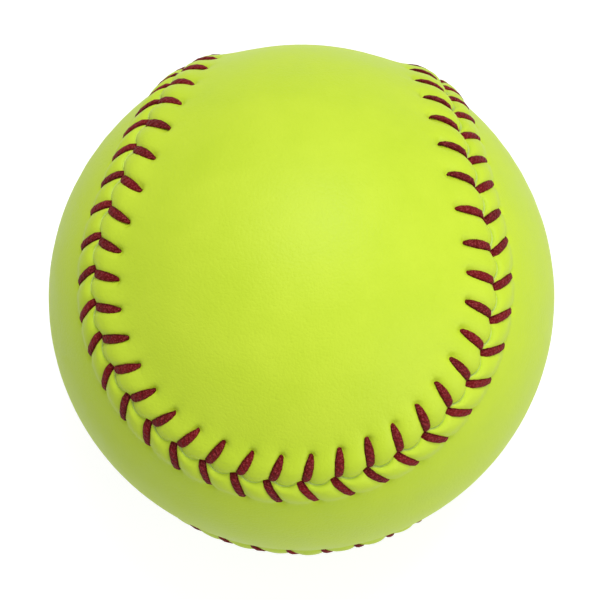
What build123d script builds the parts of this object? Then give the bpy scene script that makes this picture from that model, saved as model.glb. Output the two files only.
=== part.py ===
"""Softball of the 12-inch size: a moulded core, two alike cover panels and one sewing thread.

The frame's origin is the ball's centre. The round ends (lobes) of panel A face +Z and -Z and its waist
faces +Y. The lobes of panel B face +X and -X and its waist faces -Y. Sizes are in millimetres.
"""
import os
from math import acos, asin, atan2, cos, degrees, pi, sin, sqrt

from build123d import *

# The ball and its layers
ball_girth = 304.8  # round the plain cover, away from the seam
cover_thickness = 1.7
cement_film = 0.1  # fills the space between the core and the cover

# The seam: four equal arcs, each round a lobe of one panel
waist_width = 44.5  # a panel's narrowest place, from seam to seam over the cover
edge_gap = 0.4  # between the two panels' cut edges

# The welt: each panel's sewn margin stands up as an arch beside the seam
welt_width = 6.5  # from the seam to the crease where the arch meets the plain cover
welt_height = 1.3
margin_thickness = 1.1  # the margin is skived thinner than the plain cover
arch_facets = 6
under_facets = 4

# The sewing
stitch_count = 88
thread_width = 1.2  # over the corners of its six-sided section
thread_room = 0.06  # free space round the thread in its holes and over the welt
hole_inset = 0.5  # from the crease back to the row of holes
stitch_lead = 2.3  # a stitch's point lies this far ahead of its two holes

os.makedirs("parts", exist_ok=True)

centre = Vector(0, 0, 0)
ball_radius = ball_girth / (2 * pi)
inner_radius = ball_radius - cover_thickness
core_radius = inner_radius - cement_film

# A lobe's axis is tilted by lobe_sag from Z or X, and the seam runs round it at the angle lobe_angle
half_waist = waist_width / 2 / ball_radius
lobe_sag = atan2(1 / sqrt(2) - sin(half_waist), cos(half_waist))
lobe_angle = acos(cos(lobe_sag) / sqrt(2))
half_sweep = atan2(1, -sin(lobe_sag))
arc_length = 2 * half_sweep * sin(lobe_angle) * ball_radius
seam_length = 4 * arc_length
stitch_pitch = seam_length / stitch_count

# Under the cover the thread lies on the core in straight runs, raised by what a run cuts off the round
thread_clear = thread_width / 2 + thread_room
run_radius = core_radius + thread_clear + stitch_pitch**2 / (8 * core_radius)

# Across the seam the arch is part of a circle, whose centre lies below the middle of the welt
arch_radius = (welt_width**2 / 4 + welt_height**2) / (2 * welt_height)
arch_height = ball_radius + welt_height - arch_radius  # from the ball's centre to the circle's
arch_angle = welt_width / 2 / ball_radius
under_radius = arch_radius - margin_thickness


def quarter_turn(v, times):
    """The seam's own symmetry: a quarter turn about Y with Y reversed takes each arc to the next one."""
    for _ in range(times):
        v = Vector(-v.Z, -v.Y, v.X)
    return v


# Each arc's lobe axis, the way from that axis to the arc's middle, and the way the sewing goes there
lobe_axes = [quarter_turn(Vector(0, -sin(lobe_sag), cos(lobe_sag)), k) for k in range(4)]
lobe_middles = [quarter_turn(Vector(0, -cos(lobe_sag), -sin(lobe_sag)), k) for k in range(4)]
lobe_aheads = [quarter_turn(Vector(-1, 0, 0), k) for k in range(4)]


def spread(start, end, steps):
    """Evenly spaced values from start to end."""
    return [start + (end - start) * k / steps for k in range(steps + 1)]


def beside_seam(arc, turn, from_seam):
    """The outward direction at a turn round a lobe, at an angle from the seam towards panel A."""
    spoke = lobe_middles[arc] * cos(turn) + lobe_aheads[arc] * sin(turn)
    own_lobe = arc % 2 == 0
    angle = lobe_angle - from_seam if own_lobe else lobe_angle + from_seam
    return lobe_axes[arc] * cos(angle) + spoke * sin(angle)


def over_arch(arc, turn, side, reach, lean):
    """A point placed from the arch's centre on panel A (side 1) or B (-1), leaning away from the seam."""
    up = beside_seam(arc, turn, side * arch_angle)
    across = beside_seam(arc, turn, side * (arch_angle + pi / 2))
    return up * (arch_height + reach * cos(lean)) + across * reach * sin(lean)


def arch_lean(radius, reach):
    """How far a spoke of the arch leans where it meets a sphere round the ball's centre."""
    return acos((radius**2 - arch_height**2 - reach**2) / (2 * arch_height * reach))


# Where the margin's outline turns: at the cut edge, the crease, the inner foot and the underside of the edge
slit_angle = arch_angle - edge_gap / 2 / ball_radius
edge_lean = -slit_angle - asin(arch_height * sin(slit_angle) / arch_radius)
crease_lean = arch_lean(ball_radius, arch_radius)
crease_angle = arch_angle + asin(arch_radius * sin(crease_lean) / ball_radius)
foot_lean = arch_lean(inner_radius, under_radius)
foot_angle = arch_angle + asin(under_radius * sin(foot_lean) / inner_radius)
edge_floor = run_radius + thread_clear  # the thread passes below the cut edge
floor_lean = -arch_lean(edge_floor, under_radius)


def margin_outline(arc):
    """The margin's outline across the seam at the start of an arc, from the outer crease to the inner foot."""
    start = -half_sweep
    top = [over_arch(arc, start, 1, arch_radius, lean) for lean in spread(crease_lean, edge_lean, arch_facets)]
    edge_foot = beside_seam(arc, start, edge_gap / 2 / ball_radius) * edge_floor
    under = [over_arch(arc, start, 1, under_radius, lean) for lean in spread(floor_lean, foot_lean, under_facets)]
    return top + [edge_foot] + under


def plain_face(radius, from_seam):
    """The part of a sphere inside panel A's outline. The sphere's own edge runs along the middle of panel B."""
    outline = []
    for arc in range(4):
        points = [beside_seam(arc, turn, from_seam) * radius for turn in spread(-half_sweep, half_sweep, 2)]
        outline.append(Edge.make_three_point_arc(*points))
    sphere = Plane(centre, x_dir=(0, -1, 0), z_dir=(1, 0, 0)) * Sphere(radius)
    return sphere.face().split_by_perimeter(Wire(outline), Keep.INSIDE)


def panel_blank():
    """Panel A before its holes are punched: two plain faces, and the margin swept round each lobe."""
    faces = [plain_face(ball_radius, crease_angle), plain_face(inner_radius, foot_angle)]
    for arc in range(4):
        corners = margin_outline(arc)
        round_lobe = Axis(centre, lobe_middles[arc].cross(lobe_aheads[arc]))
        for near, far in zip(corners, corners[1:]):
            faces.append(Face.revolve(Edge.make_line(near, far), degrees(2 * half_sweep), round_lobe))
    return Solid(Shell(faces))


# The thread's leg lies on the arch from the hole to the seam, as three straight runs just clear of it
hole_lean = asin((welt_width / 2 - hole_inset) / arch_radius)
seat_reach = arch_radius + thread_clear
slit_lean = -arch_angle - asin(arch_height * sin(arch_angle) / seat_reach)
leg_step = (hole_lean - slit_lean) / 4
leg_reach = seat_reach / cos(leg_step)
run_reach = (run_radius - arch_height) / cos(hole_lean)
stations = [k * stitch_pitch for k in range(stitch_count)]


def seam_place(distance):
    """The arc, and the turn round its lobe, at a distance along the seam."""
    arc, along = divmod(distance % seam_length, arc_length)
    return int(arc), (2 * along / arc_length - 1) * half_sweep


def sewing_way(arc, turn):
    """The direction in which the seam is sewn."""
    return lobe_aheads[arc] * cos(turn) - lobe_middles[arc] * sin(turn)


def hole_punch(station):
    """A diamond-shaped awl that pierces panel A's arch squarely."""
    place = seam_place(station)
    inside = over_arch(*place, 1, run_reach, hole_lean)
    outside = over_arch(*place, 1, seat_reach, hole_lean)
    awl = Plane(inside, x_dir=sewing_way(*place), z_dir=outside - inside)
    diamond = Rectangle(2 * thread_clear, 2 * thread_clear, rotation=45)
    return extrude(awl * diamond, (outside - inside).length)


def notch_punch(station):
    """The room that two legs of the thread press into both panels' edges where they go down the seam."""
    place = seam_place(station + stitch_lead)
    outward = beside_seam(*place, 0)
    floor = Plane(outward * run_radius, x_dir=sewing_way(*place), z_dir=outward)
    return extrude(floor * Rectangle(4 * thread_clear, 2 * thread_clear), ball_radius + welt_height - run_radius)


def half_stitch(station, side):
    """The thread's corners from under a hole, over that panel's arch and down the seam, to under the other."""
    lead = stitch_lead - side * thread_clear
    hole, rise, fall, dive = [seam_place(station + lead * share) for share in (0, 1 / 4, 3 / 4, 1)]
    return [
        over_arch(*hole, side, run_reach, hole_lean),
        over_arch(*hole, side, seat_reach, hole_lean),
        over_arch(*rise, side, leg_reach, hole_lean - leg_step),
        over_arch(*fall, side, leg_reach, slit_lean + leg_step),
        over_arch(*dive, side, seat_reach, slit_lean),
        beside_seam(*dive, 0) * run_radius,
        beside_seam(*dive, -side * arch_angle / 2) * run_radius,
    ]


def sewn_thread():
    """One thread with a needle at each end: from its middle, each needle sews every other hole of a panel."""
    needle_one = []
    needle_two = []
    for k, station in enumerate(stations):
        side = 1 if k % 2 == 0 else -1
        needle_one += half_stitch(station, side)
        needle_two += half_stitch(station, -side)
    middle = beside_seam(*seam_place(stations[0]), 0) * run_radius
    route = Polyline(*reversed(needle_one), middle, *needle_two)
    section = Plane(route @ 0, z_dir=route % 0) * RegularPolygon(thread_width / 2, 6)
    return sweep(section, route, transition=Transition.RIGHT)


# Core: solid, moulded in one piece
export_step(Sphere(core_radius), "parts/core.step")

# Cover panels: both are cut and punched alike, and half a turn brings one to the place of the other
punched = panel_blank() - [hole_punch(station) for station in stations]
notches = [notch_punch(station) for station in stations]
export_step(punched - notches, "parts/cover_panel_a.step")
export_step(punched.rotate(Axis(centre, (1, 0, 1)), 180) - notches, "parts/cover_panel_b.step")

# Thread: through every hole and down the seam
export_step(sewn_thread(), "parts/thread.step")
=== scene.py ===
from math import acos, atan2, cos, pi, sin, sqrt

import bmesh
import bpy
import numpy as np
from mathutils import Matrix, Vector


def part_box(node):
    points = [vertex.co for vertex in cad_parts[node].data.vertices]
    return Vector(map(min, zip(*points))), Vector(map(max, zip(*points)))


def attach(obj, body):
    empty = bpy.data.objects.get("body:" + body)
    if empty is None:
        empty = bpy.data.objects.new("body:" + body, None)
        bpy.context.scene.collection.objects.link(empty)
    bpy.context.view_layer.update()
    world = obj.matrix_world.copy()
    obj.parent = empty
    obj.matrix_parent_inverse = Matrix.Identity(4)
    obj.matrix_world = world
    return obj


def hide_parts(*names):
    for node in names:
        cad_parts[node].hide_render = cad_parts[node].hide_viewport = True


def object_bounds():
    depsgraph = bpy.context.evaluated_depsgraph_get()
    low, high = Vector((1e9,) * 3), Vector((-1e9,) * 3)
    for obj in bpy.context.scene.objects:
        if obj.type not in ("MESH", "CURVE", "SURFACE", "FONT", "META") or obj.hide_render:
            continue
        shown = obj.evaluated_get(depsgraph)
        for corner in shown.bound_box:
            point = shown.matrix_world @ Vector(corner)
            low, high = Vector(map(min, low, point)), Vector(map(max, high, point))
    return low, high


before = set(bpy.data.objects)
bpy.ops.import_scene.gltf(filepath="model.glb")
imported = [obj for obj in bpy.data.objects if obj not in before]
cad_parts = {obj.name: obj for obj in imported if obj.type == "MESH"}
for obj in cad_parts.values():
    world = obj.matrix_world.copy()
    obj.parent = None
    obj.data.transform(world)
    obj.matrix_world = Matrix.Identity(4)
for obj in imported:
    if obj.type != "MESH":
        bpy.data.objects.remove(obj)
cad_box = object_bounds()

# Core: a solid ball of foamed polyurethane, cast in a two-part mould and trimmed at the parting line.
# It is pale cream, matt and faintly pebbled. The cover hides it. The CAD ball has its shape and stays.
foam_pebbles = 700  # per metre
foam_bump, foam_depth = 0.4, 0.0001  # share, and metres
foam_roughness = (0.62, 0.8)
deep_cream = (0.80, 0.76, 0.62, 1)
pale_cream = (0.90, 0.87, 0.76, 1)
cloud_span = (0.3, 0.7)  # nearly all of the cloud pattern lies between these values


def put(tree, kind, *inputs, **settings):
    """Adds a node with its options, and fills the inputs that it then has, in order, with links or values."""
    node = tree.nodes.new(kind)
    for name, value in settings.items():
        setattr(node, name, value)
    for socket, value in zip([s for s in node.inputs if s.enabled], inputs):
        if isinstance(value, bpy.types.NodeSocket):
            tree.links.new(value, socket)
        elif value is not None:
            socket.default_value = value
    return [s for s in node.outputs if s.enabled]


def maths(tree, operation, *inputs):
    """One sum of a node tree."""
    return put(tree, "ShaderNodeMath", *inputs, operation=operation)[0]


def ranged(tree, value, span, result=(0, 1)):
    """Takes a value from one range to another, and holds it there."""
    return put(tree, "ShaderNodeMapRange", value, *span, *result)[0]


def blended(tree, share, first, second):
    """A colour between two others."""
    return put(tree, "ShaderNodeMix", share, first, second, data_type="RGBA")[0]


def pebble_group():
    """Grain of a moulded or embossed skin: round pebbles with creases between them, and slow cloudy mottling."""
    wander = 0.0006  # how far the creases stray, in metres
    grit_density, grit_height = 2.7, 0.45  # against the pebbles' own
    grit_detail, grit_harshness = 3, 0.6
    cloud_density = 0.05  # against the pebbles' own
    cloud_detail, cloud_harshness = 4, 0.55
    tree = bpy.data.node_groups.new("pebbled_skin", "ShaderNodeTree")
    for label, kind in [("Place", "NodeSocketVector"), ("Pebbles per metre", "NodeSocketFloat")]:
        tree.interface.new_socket(label, in_out="INPUT", socket_type=kind)
    for label in ("Pebbles", "Clouds"):
        tree.interface.new_socket(label, in_out="OUTPUT", socket_type="NodeSocketFloat")
    place, density = tree.nodes.new("NodeGroupInput").outputs[:2]
    crinkle = put(tree, "ShaderNodeTexNoise", place, density, grit_detail, grit_harshness)[1]
    bent = put(tree, "ShaderNodeVectorMath", crinkle, (wander,) * 3, place, operation="MULTIPLY_ADD")[0]
    cells = put(tree, "ShaderNodeTexVoronoi", bent, density)[0]
    rounded = maths(tree, "SUBTRACT", 1, maths(tree, "MULTIPLY", cells, cells))
    finer = maths(tree, "MULTIPLY", density, grit_density)
    grit = put(tree, "ShaderNodeTexNoise", place, finer, grit_detail, grit_harshness)[0]
    pebbles = maths(tree, "MULTIPLY_ADD", grit, grit_height, rounded)
    slower = maths(tree, "MULTIPLY", density, cloud_density)
    clouds = put(tree, "ShaderNodeTexNoise", place, slower, cloud_detail, cloud_harshness)[0]
    put(tree, "NodeGroupOutput", pebbles, clouds)
    return tree


def new_material(name, **constants):
    """A material, its nodes and its shader, with constant values on the shader's own sockets."""
    material = bpy.data.materials.new(name)
    material.use_nodes = True
    shader = material.node_tree.nodes["Principled BSDF"]
    for label, value in constants.items():
        shader.inputs[label.replace("_", " ")].default_value = value
    return material, material.node_tree, shader


def grained(tree, density):
    """The pebbled skin's pebbles and clouds in a material, by the piece's own coordinates."""
    place = tree.nodes.new("ShaderNodeTexCoord").outputs["Object"]
    return put(tree, "ShaderNodeGroup", place, density, node_tree=pebbled_skin)


def raise_grain(tree, shader, height, strength, depth):
    """Raises a shader's surface by a pattern, to a depth in metres."""
    bump = tree.nodes.new("ShaderNodeBump")
    bump.inputs["Strength"].default_value = strength
    bump.inputs["Distance"].default_value = depth
    tree.links.new(height, bump.inputs["Height"])
    tree.links.new(bump.outputs["Normal"], shader.inputs["Normal"])


pebbled_skin = pebble_group()
foam, tree, shader = new_material("cast_polyurethane", IOR=1.45)
pebbles, clouds = grained(tree, foam_pebbles)
tree.links.new(blended(tree, clouds, deep_cream, pale_cream), shader.inputs["Base Color"])
tree.links.new(ranged(tree, clouds, cloud_span, foam_roughness), shader.inputs["Roughness"])
raise_grain(tree, shader, pebbles, foam_bump, foam_depth)
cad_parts["core"].data.materials.clear()
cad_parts["core"].data.materials.append(foam)

# Cover panels: two figure-of-eight blanks of yellow-green synthetic leather, wet-stretched over the core and
# cemented. Their margins stand up where they meet. Each stitch pulls a valley across the margin, with a pillow on
# either side, and panel A's pillows roll over the cut edge of panel B, so the seam is a scalloped line.
mm_per_m = 1000  # the sizes here are in millimetres, and the meshes in metres
ball_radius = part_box("cover_panel_b")[1].x * mm_per_m
waist_width = 44.5  # of a panel, from seam to seam
wall = 1.7
stitch_count = 88
stitch_lead = 2.3  # a stitch's point lies this far ahead of its two holes
thread_half = 0.5  # one leg goes down this far before that point, and the other after it
hole_inset = 6  # from the seam
nudge = 0.1  # a short step, to find which way a line goes

# A lobe's axis is tilted by lobe_sag from Z or X, and the seam runs round it at the angle lobe_angle
half_waist = waist_width / 2 / ball_radius
lobe_sag = atan2(1 / sqrt(2) - sin(half_waist), cos(half_waist))
lobe_angle = acos(cos(lobe_sag) / sqrt(2))
half_sweep = atan2(1, -sin(lobe_sag))
arc_length = 2 * half_sweep * sin(lobe_angle) * ball_radius
stitch_pitch = 4 * arc_length / stitch_count


def on_arc(along):
    """The arc of the seam, and the turn round its lobe, at distances along the seam."""
    arc = np.floor(along / arc_length)
    return arc % 4, (2 * (along / arc_length - arc) - 1) * half_sweep


def quarter_turned(v, arc):
    """Takes directions from the seam's first arc to the arc that each belongs to."""
    for k in range(3):
        turned = np.stack([-v[:, 2], -v[:, 1], v[:, 0]], axis=1)
        v = np.where((arc > k)[:, None], turned, v)
    return v


def beside_seam(along, inset):
    """Outward directions at distances along the seam and away from it, positive on panel A."""
    arc, turn = on_arc(along)
    angle = lobe_angle - np.where(arc % 2 == 0, 1, -1) * inset / ball_radius
    axis = np.array([0, -sin(lobe_sag), cos(lobe_sag)])
    middle = np.array([0, -cos(lobe_sag), -sin(lobe_sag)])
    ahead = np.array([-1.0, 0, 0])
    spoke = np.cos(turn)[:, None] * middle + np.sin(turn)[:, None] * ahead
    return quarter_turned(np.cos(angle)[:, None] * axis + np.sin(angle)[:, None] * spoke, arc)


def to_spine(along, side):
    """How far a panel reaches from the seam: to a lobe's middle, or at the waist to the panel's middle line."""
    arc, turn = on_arc(along)
    waist = np.arctan2(cos(lobe_sag), sin(lobe_sag) * np.cos(turn)) - lobe_angle
    return np.where((arc % 2 == 0) == (side > 0), lobe_angle, waist) * ball_radius


# Columns of points run from the seam to the panel's middle line, and lie closer together at the stitches
per_stitch = 20
crowding = 0.35
even = np.arange(per_stitch) / per_stitch
phases = even - crowding * np.sin(2 * pi * even) / (2 * pi)

# A row's numbers: it has a point on every how many columns, its distance from the seam, its share of the way from
# there to the middle line, and its height over the plain cover before sewing
fine_insets = [0.02, 0.05, 0.1, 0.18, 0.3, 0.45, 0.65, 0.9, 1.2, 1.55, 1.95, 2.35, 2.75, 3.15, 3.55, 3.95, 4.35]
fine_insets += [4.7, 5.0, 5.25, 5.5, 5.7, 5.9, 6.1, 6.3, 6.5, 6.7, 6.95, 7.25, 7.6, 8.05, 8.6, 9.3, 10.1]
plain_inset = 10.4
skin_rows = [(1, inset, 0, 0) for inset in fine_insets]
skin_rows += [(2, plain_inset, 0.06, 0), (4, plain_inset, 0.16, 0)]
skin_rows += [(4, plain_inset, share, 0) for share in (0.3, 0.44, 0.58, 0.72, 0.86, 1)]
flesh_rows = [(1, 0.02, 0, -0.8), (2, 3.2, 0, -0.4), (4, 5.8, 0, -0.9), (4, 7.2, 0, -wall)]
flesh_rows += [(4, plain_inset, share, -wall) for share in (0, 0.25, 0.5, 0.75, 1)]


def zipped(near, far):
    """Faces between two closed rows of points, where the far row has as many points or half as many."""
    near_next, far_next = np.roll(near, -1), np.roll(far, -1)
    if len(near) == len(far):
        return np.stack([near, near_next, far_next, far], axis=1).tolist()
    first, middle, last = near[0::2], near[1::2], np.roll(near[0::2], -1)
    corners = [(first, middle, far), (middle, far_next, far), (middle, last, far_next)]
    return np.concatenate([np.stack(three, axis=1) for three in corners]).tolist()


def panel_blank(name, side):
    """A closed panel before sewing: rows of points from cut edge to middle, on its skin and on its flesh side."""
    lead = stitch_lead - side * thread_half
    least_length = 1e-9
    same_spot = 1e-6  # metres
    places, facts, rows, count = [], [], [], 0
    for step, inset, share, height in skin_rows + flesh_rows:
        column = np.arange(0, stitch_count * per_stitch, step)
        stitch, phase = column // per_stitch, phases[column % per_stitch]
        along = (stitch + phase) * stitch_pitch + lead * max(0, 1 - inset / hole_inset)
        depth = inset + share * (to_spine(along, side) - inset)
        outward = beside_seam(along, side * depth)
        across = beside_seam(along, side * (depth + nudge)) - outward
        across /= np.maximum(np.linalg.norm(across, axis=1), least_length)[:, None]
        skin = np.full(len(column), 1.0 if len(rows) < len(skin_rows) else 0.0)
        places.append(outward * (ball_radius + height) / mm_per_m)
        facts.append(np.column_stack([phase, depth, skin, stitch, across]))
        rows.append(np.arange(count, count + len(column)))
        count += len(column)
    outer, inner = rows[: len(skin_rows)], rows[len(skin_rows) :]
    faces = zipped(outer[0], inner[0])
    for strip in (outer, inner):
        for near, far in zip(strip, strip[1:]):
            faces += zipped(near, far)
    mesh = bpy.data.meshes.new(name)
    mesh.from_pydata(np.concatenate(places).tolist(), [], faces)
    facts = np.concatenate(facts)
    for k, label in enumerate(["phase", "inset", "skin", "stitch"]):
        kind = "INT" if label == "stitch" else "FLOAT"
        values = facts[:, k].astype(np.int32 if kind == "INT" else np.float32)
        mesh.attributes.new(label, kind, "POINT").data.foreach_set("value", values)
    across = mesh.attributes.new("across", "FLOAT_VECTOR", "POINT")
    across.data.foreach_set("vector", facts[:, 4:].astype(np.float32).ravel())
    shell = bmesh.new()
    shell.from_mesh(mesh)
    bmesh.ops.remove_doubles(shell, verts=shell.verts, dist=same_spot)
    bmesh.ops.recalc_face_normals(shell, faces=shell.faces)
    for face in shell.faces:
        face.smooth = True
    shell.to_mesh(mesh)
    shell.free()
    piece = bpy.data.objects.new(name, mesh)
    bpy.context.scene.collection.objects.link(piece)
    return piece


def drawn_curve(tree, value, points):
    """A curve drawn through points, as a node that reads it at a value. A new curve has its first two points."""
    output = put(tree, "ShaderNodeFloatCurve", 1, value)[0]
    mapping = output.node.mapping
    mapping.use_clip = False
    mapping.extend = "HORIZONTAL"
    curve = mapping.curves[0]
    for k, (x, y) in enumerate(points):
        point = curve.points[k] if k < 2 else curve.points.new(x, y)
        point.location = (x, y)
        point.handle_type = "AUTO_CLAMPED"
    mapping.update()
    return output


def inlets(tree, *sockets):
    """Gives a geometry tree its named inputs and its output, and returns the inputs to link from."""
    for label, kind in sockets:
        tree.interface.new_socket(label, in_out="INPUT", socket_type="NodeSocket" + kind)
    tree.interface.new_socket("Geometry", in_out="OUTPUT", socket_type="NodeSocketGeometry")
    given = tree.nodes.new("NodeGroupInput").outputs
    return {label: given[label] for label, _ in sockets}


def stored(tree, label, kind="FLOAT"):
    """A value stored on the mesh, in a geometry tree."""
    return put(tree, "GeometryNodeInputNamedAttribute", label, data_type=kind)[0]


# Along the seam, from one stitch (0) to the next (1): how full the margin is, and how far its edge laps over
pillow_line = [(0, 0), (0.1, 0.05), (0.16, 0.33), (0.25, 0.68), (0.37, 0.93), (0.5, 1)]
pillow_line += [(1 - x, y) for x, y in pillow_line[-2::-1]]
lap_line = [(0, 0), (0.1, 0.03), (0.3, 0.72), (0.5, 1), (0.7, 0.72), (0.9, 0.03), (1, 0)]


def welt_tree(name, crown, dent, lap_phase):
    """Sews a blank: raises its welt, sinks a valley at each stitch and a pit at each hole, and shifts its edge."""
    pit_fall = -1.6  # per square millimetre
    lap_fall = -0.45  # per millimetre from the seam
    ripple_density, ripple_detail = 160, 2  # per metre
    ripple_share = 0.5  # of the valley's depth
    noise_middle = 0.5
    metres = 1 / mm_per_m
    tree = bpy.data.node_groups.new(name, "GeometryNodeTree")
    given = inlets(
        tree, ("Geometry", "Geometry"), ("Stitch pitch", "Float"), ("Hole inset", "Float"), ("Hole depth", "Float"),
        ("Lap", "Float"), ("Unevenness", "Float"), ("Seed", "Int"), ("Leather", "Material"),
    )
    phase, inset = stored(tree, "phase"), stored(tree, "inset")
    position = put(tree, "GeometryNodeInputPosition")[0]

    low = maths(tree, "SUBTRACT", 1, given["Unevenness"])
    high = maths(tree, "ADD", 1, given["Unevenness"])
    fullness = put(tree, "FunctionNodeRandomValue", low, high, stored(tree, "stitch", "INT"), given["Seed"])[0]
    pillow = maths(tree, "MULTIPLY", drawn_curve(tree, phase, pillow_line), fullness)
    valley = drawn_curve(tree, inset, dent)
    swell = maths(tree, "SUBTRACT", pillow, 1)
    welt = maths(tree, "MULTIPLY_ADD", swell, valley, drawn_curve(tree, inset, crown))

    beside = maths(tree, "MULTIPLY", maths(tree, "PINGPONG", phase, 0.5), given["Stitch pitch"])
    beyond = maths(tree, "SUBTRACT", inset, given["Hole inset"])
    apart = maths(tree, "MULTIPLY_ADD", beside, beside, maths(tree, "MULTIPLY", beyond, beyond))
    pit = maths(tree, "EXPONENT", maths(tree, "MULTIPLY", apart, pit_fall))
    pitted = maths(tree, "SUBTRACT", welt, maths(tree, "MULTIPLY", pit, given["Hole depth"]))
    noise = put(tree, "ShaderNodeTexNoise", position, ripple_density, ripple_detail)[0]
    ripple = maths(tree, "MULTIPLY", maths(tree, "SUBTRACT", noise, noise_middle), valley)
    height = maths(tree, "MULTIPLY_ADD", ripple, ripple_share, pitted)
    lift = maths(tree, "MULTIPLY", maths(tree, "MULTIPLY", height, stored(tree, "skin")), metres)

    lap = drawn_curve(tree, maths(tree, "FRACT", maths(tree, "ADD", phase, lap_phase)), lap_line)
    fade = maths(tree, "EXPONENT", maths(tree, "MULTIPLY", inset, lap_fall))
    lap_reach = maths(tree, "MULTIPLY", given["Lap"], metres)
    drift = maths(tree, "MULTIPLY", maths(tree, "MULTIPLY", lap, fade), lap_reach)

    up = put(tree, "ShaderNodeVectorMath", position, operation="NORMALIZE")[0]
    raised = put(tree, "ShaderNodeVectorMath", up, lift, operation="SCALE")[0]
    across = stored(tree, "across", "FLOAT_VECTOR")
    shifted = put(tree, "ShaderNodeVectorMath", across, drift, operation="SCALE")[0]
    offset = put(tree, "ShaderNodeVectorMath", raised, shifted, operation="ADD")[0]
    sewn = put(tree, "GeometryNodeSetPosition", given["Geometry"], True, None, offset)[0]
    whole = put(tree, "GeometryNodeRealizeInstances", sewn)[0]
    put(tree, "NodeGroupOutput", put(tree, "GeometryNodeSetMaterial", whole, True, given["Leather"])[0])
    return tree


def worked(piece, tree, **values):
    """Runs a tree on a piece and keeps the result as the piece's plain mesh."""
    step = piece.modifiers.new(tree.name, "NODES")
    step.node_group = tree
    for socket in tree.interface.items_tree:
        label = socket.name.replace(" ", "_")
        if socket.in_out == "INPUT" and label in values:
            step[socket.identifier] = values[label]
    state = bpy.context.evaluated_depsgraph_get()
    made = piece.evaluated_get(state)
    mesh = bpy.data.meshes.new_from_object(made, preserve_all_data_layers=True, depsgraph=state)
    piece.modifiers.remove(step)
    piece.data = mesh
    mesh.name = piece.name


def mesh_value(tree, label):
    """A value stored on the piece's mesh, in its material."""
    node = tree.nodes.new("ShaderNodeAttribute")
    node.attribute_name = label
    return node.outputs["Fac"]


leather_pebbles = 1900  # per metre
leather_bump, leather_depth = 0.45, 0.00008  # share, and metres
leather_roughness = (0.44, 0.54)
deep_yellow = (0.565, 0.76, 0.028, 1)
bright_yellow = (0.615, 0.805, 0.038, 1)
pale_cut = (0.74, 0.85, 0.38, 1)
cut_span = (0.05, 0.3)  # the leather's paler inside shows at its cut edge, and ends between these distances
leather, tree, shader = new_material("optic_yellow_leather", Specular_IOR_Level=0.3)
pebbles, clouds = grained(tree, leather_pebbles)
tanned = blended(tree, ranged(tree, clouds, cloud_span), deep_yellow, bright_yellow)
cut = ranged(tree, mesh_value(tree, "inset"), cut_span, (1, 0))
tree.links.new(blended(tree, cut, tanned, pale_cut), shader.inputs["Base Color"])
tree.links.new(ranged(tree, clouds, cloud_span, leather_roughness), shader.inputs["Roughness"])
raise_grain(tree, shader, pebbles, leather_bump, leather_depth)

# Across the seam, at distances from it: how high the margin stands, and how deep a stitch pulls it down
crown_a = [(0, -0.15), (0.15, 0.5), (0.45, 0.9), (1, 1.22), (1.9, 1.44), (3, 1.42), (4.2, 1.15), (5.5, 0.77)]
crown_a += [(6.8, 0.46), (8.2, 0.24), (10, 0.09), (12.5, 0)]
dent_a = [(0, 0.3), (0.4, 0.5), (1, 0.62), (2.4, 0.64), (4, 0.6), (5.6, 0.5), (6.6, 0.3), (8.2, 0.09), (10, 0)]
crown_b = [(0, -0.1), (0.15, 0.4), (0.45, 0.8), (1, 1.1), (1.9, 1.28), (3, 1.25), (4.2, 1.06), (5.2, 0.7)]
crown_b += [(6, 0.27), (6.6, 0.04), (7.4, -0.03), (10, 0)]
dent_b = [(0, 0.3), (0.4, 0.46), (1, 0.6), (2.4, 0.66), (4, 0.54), (5.2, 0.36), (6, 0.2), (7.2, 0.05), (10, 0)]
for name, side, crown, dent in [("cover_panel_a", 1, crown_a, dent_a), ("cover_panel_b", -1, crown_b, dent_b)]:
    panel = panel_blank("sewn_" + name, side)
    welt = welt_tree("welt_of_" + name, crown, dent, -side * thread_half / stitch_pitch)
    worked(
        panel, welt, Stitch_pitch=stitch_pitch, Hole_inset=hole_inset, Hole_depth=0.55, Lap=-0.9 * side,
        Unevenness=0.12, Seed=3, Leather=leather,
    )
    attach(panel, "root")
    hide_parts(name)

# Thread: one length of waxed, twisted thread with a needle at each end. A leg comes up through each hole, lies
# pressed flat in its valley, goes down between the cut edges and runs on under the cover to the other panel's
# next hole.
thread_width = 1.72  # a leg's widths are shares of this
thread_flat = 0.48  # its thickness against its width
run_depth = -1.14  # of the run under the cover, from the plain cover's face
run_widths = [(0.1, 0.6), (0.55, 0.6), (1, 0.5)]  # at shares of the way from the seam to the next hole


def read_line(points, x):
    """A profile's height at a distance from the seam."""
    return float(np.interp(x, [p[0] for p in points], [p[1] for p in points]))


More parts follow.
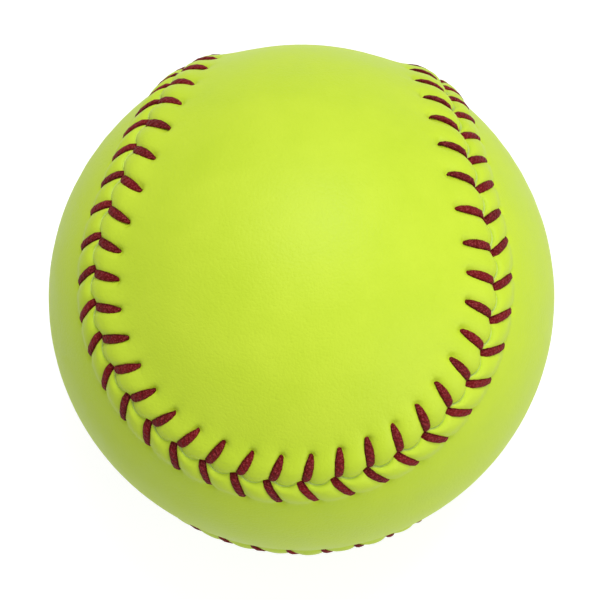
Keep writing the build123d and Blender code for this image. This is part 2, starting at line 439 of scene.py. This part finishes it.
def leg_path(name, side, crown, dent, shape):
    """A stitch's leg from under its hole to under the other panel's next hole. The origin is on the seam."""
    lead = stitch_lead - side * thread_half

    def leg_point(x, inset, reach, width):
        """A point at a distance ahead, from the seam and from the ball's centre."""
        angle = inset / ball_radius
        return x, -side * reach * sin(angle), reach * cos(angle) - ball_radius, width

    points = []
    for inset, lift, width in shape:
        bed = read_line(crown, max(inset, 0)) - read_line(dent, max(inset, 0))
        points.append(leg_point(lead * (1 - inset / hole_inset), inset, ball_radius + bed + lift, width))
    for share, width in run_widths:
        x = lead + share * (stitch_pitch - lead)
        points.append(leg_point(x, -share * hole_inset, ball_radius + run_depth, width))
    curve = bpy.data.curves.new(name, "CURVE")
    curve.dimensions = "3D"
    curve.twist_mode = "Z_UP"
    line = curve.splines.new("NURBS")
    line.points.add(len(points) - 1)
    for point, (x, y, z, width) in zip(line.points, points):
        point.co = (x / mm_per_m, y / mm_per_m, z / mm_per_m, 1)
        point.radius = width * thread_width / 2 / mm_per_m
    line.order_u = 3
    line.use_endpoint_u = True
    line.resolution_u = 1
    path = bpy.data.objects.new(name, curve)
    bpy.context.scene.collection.objects.link(path)
    return path


def sewing_tree():
    """Puts both legs of the stitch at every station, each a little different, and joins them to one thread."""
    size_draw, tone_draw = 7, 13  # added to the seed, so that each draw is its own
    tree = bpy.data.node_groups.new("double_stitching", "GeometryNodeTree")
    given = inlets(
        tree, ("Geometry", "Geometry"), ("Leg on panel A", "Object"), ("Leg on panel B", "Object"),
        ("Flatness", "Float"), ("Sides", "Int"), ("Sway", "Float"), ("Slack", "Float"), ("Seed", "Int"),
        ("Thread", "Material"),
    )
    parameter = tree.nodes.new("GeometryNodeSplineParameter").outputs
    outline = put(tree, "GeometryNodeCurvePrimitiveCircle", given["Sides"], 1)[0]
    pressed = put(tree, "GeometryNodeTransform", outline)[0]
    squeeze = put(tree, "ShaderNodeCombineXYZ", 1, given["Flatness"], 1)[0]
    tree.links.new(squeeze, pressed.node.inputs["Scale"])
    section = put(tree, "GeometryNodeStoreNamedAttribute", pressed, True, "around", parameter["Factor"])[0]
    outward, ahead = stored(tree, "outward", "FLOAT_VECTOR"), stored(tree, "ahead", "FLOAT_VECTOR")
    facing = put(tree, "FunctionNodeAxesToRotation", outward, ahead, primary_axis="Z", secondary_axis="X")[0]
    index = put(tree, "GeometryNodeInputIndex")[0]
    width = put(tree, "GeometryNodeInputRadius")[0]
    back = maths(tree, "MULTIPLY", given["Sway"], -1)
    less = maths(tree, "SUBTRACT", 1, given["Slack"])
    more = maths(tree, "ADD", 1, given["Slack"])
    joined = tree.nodes.new("GeometryNodeJoinGeometry")
    for k, label in enumerate(["Leg on panel A", "Leg on panel B"]):
        seed = maths(tree, "MULTIPLY_ADD", given["Seed"], 2, k)
        drawn = tree.nodes.new("GeometryNodeObjectInfo")
        tree.links.new(given[label], drawn.inputs["Object"])
        path = drawn.outputs["Geometry"]
        path = put(tree, "GeometryNodeStoreNamedAttribute", path, True, "along", parameter["Length"])[0]
        tube = put(tree, "GeometryNodeCurveToMesh", path, section, width, True)[0]
        leg = put(tree, "GeometryNodeSetShadeSmooth", tube)[0]
        sway = put(tree, "FunctionNodeRandomValue", back, given["Sway"], index, seed)[0]
        turn = put(tree, "FunctionNodeAxisAngleToRotation", (0, 0, 1), sway)[0]
        turned = put(tree, "FunctionNodeRotateRotation", facing, turn, rotation_space="LOCAL")[0]
        size = put(tree, "FunctionNodeRandomValue", less, more, index, maths(tree, "ADD", seed, size_draw))[0]
        scale = put(tree, "ShaderNodeCombineXYZ", 1, size, 1)[0]
        legs = put(tree, "GeometryNodeInstanceOnPoints", given["Geometry"], True, leg, False, 0, turned, scale)[0]
        tone = put(tree, "FunctionNodeRandomValue", 0, 1, index, maths(tree, "ADD", seed, tone_draw))[0]
        legs = put(tree, "GeometryNodeStoreNamedAttribute", legs, True, "tone", tone, domain="INSTANCE")[0]
        tree.links.new(legs, joined.inputs[0])
    whole = put(tree, "GeometryNodeRealizeInstances", joined.outputs[0])[0]
    put(tree, "NodeGroupOutput", put(tree, "GeometryNodeSetMaterial", whole, True, given["Thread"])[0])
    return tree


thread_pebbles = 3000  # per metre: its wax and loose fibres
thread_bump, thread_depth = 0.8, 0.00011  # share, and metres
thread_roughness = (0.5, 0.75)
wax_height = 0.5  # against the plies
wax_span = (0.7, 1.3)  # nearly all of the pebble pattern lies between these values
ply_count = 3
twist_length = 0.0011  # metres along the thread to one turn
deep_red = (0.085, 0.003, 0.004, 1)
bright_red = (0.22, 0.005, 0.007, 1)
worn_red = (0.55, 0.09, 0.1, 1)
tone_share, cloud_share = 0.5, 0.5
fuzz_span, fuzz_share = (0.95, 1.3), (0, 0.62)  # loose fibres on the highest pebbles are paler
waxed, tree, shader = new_material("waxed_red_thread", Specular_IOR_Level=0.1)
round_turn = maths(tree, "MULTIPLY", mesh_value(tree, "around"), 2 * pi * ply_count)
twist = maths(tree, "MULTIPLY_ADD", mesh_value(tree, "along"), 2 * pi / twist_length, round_turn)
plies = maths(tree, "SINE", twist)
pebbles, clouds = grained(tree, thread_pebbles)
mottle = maths(tree, "MULTIPLY", clouds, cloud_share)
redness = maths(tree, "MULTIPLY_ADD", mesh_value(tree, "tone"), tone_share, mottle)
dye = blended(tree, redness, deep_red, bright_red)
fuzz = ranged(tree, pebbles, fuzz_span, fuzz_share)
tree.links.new(blended(tree, fuzz, dye, worn_red), shader.inputs["Base Color"])
tree.links.new(ranged(tree, pebbles, wax_span, thread_roughness), shader.inputs["Roughness"])
raise_grain(tree, shader, maths(tree, "MULTIPLY_ADD", pebbles, wax_height, plies), thread_bump, thread_depth)

spots = np.arange(stitch_count) * stitch_pitch
on_seam = np.zeros(stitch_count)
outward = beside_seam(spots, on_seam)
ahead = beside_seam(spots + nudge, on_seam) - beside_seam(spots - nudge, on_seam)
stations = bpy.data.meshes.new("thread")
stations.from_pydata((outward * ball_radius / mm_per_m).tolist(), [], [])
for label, values in [("outward", outward), ("ahead", ahead)]:
    layer = stations.attributes.new(label, "FLOAT_VECTOR", "POINT")
    layer.data.foreach_set("vector", values.astype(np.float32).ravel())
thread = bpy.data.objects.new("sewn_thread", stations)
bpy.context.scene.collection.objects.link(thread)

# A leg's points: the distance from the seam, the height over the valley's bed, and the share of the full width
leg_a = leg_path("leg_a", 1, crown_a, dent_a, [
    (6.3, -1.3, 0.32), (6.1, -0.35, 0.4), (5.7, 0.05, 0.62), (4.6, 0.25, 0.98), (3.2, 0.28, 1.06),
    (1.7, 0.28, 0.99), (0.7, 0.24, 0.86), (0.05, 0.1, 0.7), (-0.25, -0.7, 0.4),
])
leg_b = leg_path("leg_b", -1, crown_b, dent_b, [
    (6.3, -1.3, 0.3), (6.1, -0.35, 0.38), (5.7, 0.05, 0.56), (4.6, 0.18, 0.88), (3.2, 0.19, 0.98),
    (1.7, 0.2, 0.99), (0.6, 0.2, 0.93), (-0.1, 0.08, 0.8), (-0.3, -0.7, 0.45),
])
worked(
    thread, sewing_tree(), Leg_on_panel_A=leg_a, Leg_on_panel_B=leg_b, Flatness=thread_flat, Sides=8, Sway=0.05,
    Slack=0.05, Seed=5, Thread=waxed,
)
for path in (leg_a, leg_b):
    bpy.data.objects.remove(path)
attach(thread, "root")
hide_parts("thread")

# Floor and light: a sheet of white paper under the ball, in a white room that lights it from every side. A soft
# lamp hangs over the ball, and a larger one stands low at its right. Paper and room are pure white in the picture.
white = (1, 1, 1, 1)
paper_grey = (0.42, 0.42, 0.42, 1)  # by which it throws light back on the ball
paper_glow = 0.8  # added in the picture
room_light = 0.49
floor_reach = 3  # metres


def in_picture(tree):
    """One where the camera looks, also in a reflection or through glass, and nought for the light on the ball."""
    ray = tree.nodes.new("ShaderNodeLightPath").outputs
    indirect = maths(tree, "MAXIMUM", ray["Is Glossy Ray"], ray["Is Transmission Ray"])
    return maths(tree, "MAXIMUM", ray["Is Camera Ray"], indirect)


floor_mesh = bpy.data.meshes.new("floor")
corners = [(x * floor_reach, y * floor_reach, cad_box[0].z) for x, y in [(-1, -1), (1, -1), (1, 1), (-1, 1)]]
floor_mesh.from_pydata(corners, [], [(0, 1, 2, 3)])
floor = bpy.data.objects.new("floor", floor_mesh)
bpy.context.scene.collection.objects.link(floor)
paper, tree, shader = new_material("white_paper", Base_Color=paper_grey, Roughness=0.9, Emission_Color=white)
tree.links.new(maths(tree, "MULTIPLY", in_picture(tree), paper_glow), shader.inputs["Emission Strength"])
floor.data.materials.append(paper)

room = bpy.data.worlds.new("white_room")
room.use_nodes = True
bpy.context.scene.world = room
tree = room.node_tree
strength = maths(tree, "MULTIPLY_ADD", in_picture(tree), 1 - room_light, room_light)
background = tree.nodes["Background"]
background.inputs["Color"].default_value = white
tree.links.new(strength, background.inputs["Strength"])


def soft_lamp(name, spot, size, power):
    """A square lamp that faces the ball."""
    light = bpy.data.lights.new(name, "AREA")
    light.size = size
    light.energy = power
    lamp = bpy.data.objects.new(name, light)
    lamp.location = spot
    lamp.rotation_euler = Vector(spot).to_track_quat("Z", "Y").to_euler()
    bpy.context.scene.collection.objects.link(lamp)


soft_lamp("overhead", (0.114, 0.185, 0.873), 0.4, 4)
soft_lamp("side", (0.715, -0.48, 0.27), 0.6, 2.2)

# Camera: as far off as the photograph's outline and seam show, nearly above the front lobe of panel A.
# It stands a hair left of the ball's middle and below it, as the ball isn't quite in the picture's middle.
toward = Vector((0.049, -0.357, 0.933)).normalized()
right = Vector((-0.058, 0.931, 0.359)).cross(toward).normalized()
upward = toward.cross(right)
distance = 10.3 * ball_radius / mm_per_m
left_by, below_by = 0.00029, 0.0005  # metres
lens = bpy.data.cameras.new("camera")
lens.sensor_width = 36
lens.lens = 155.6
camera = bpy.data.objects.new("camera", lens)
camera.matrix_world = Matrix((right, upward, toward)).transposed().to_4x4()
camera.location = toward * distance - right * left_by - upward * below_by
bpy.context.scene.collection.objects.link(camera)
bpy.context.scene.camera = camera
bpy.context.scene.view_settings.view_transform = "Standard"
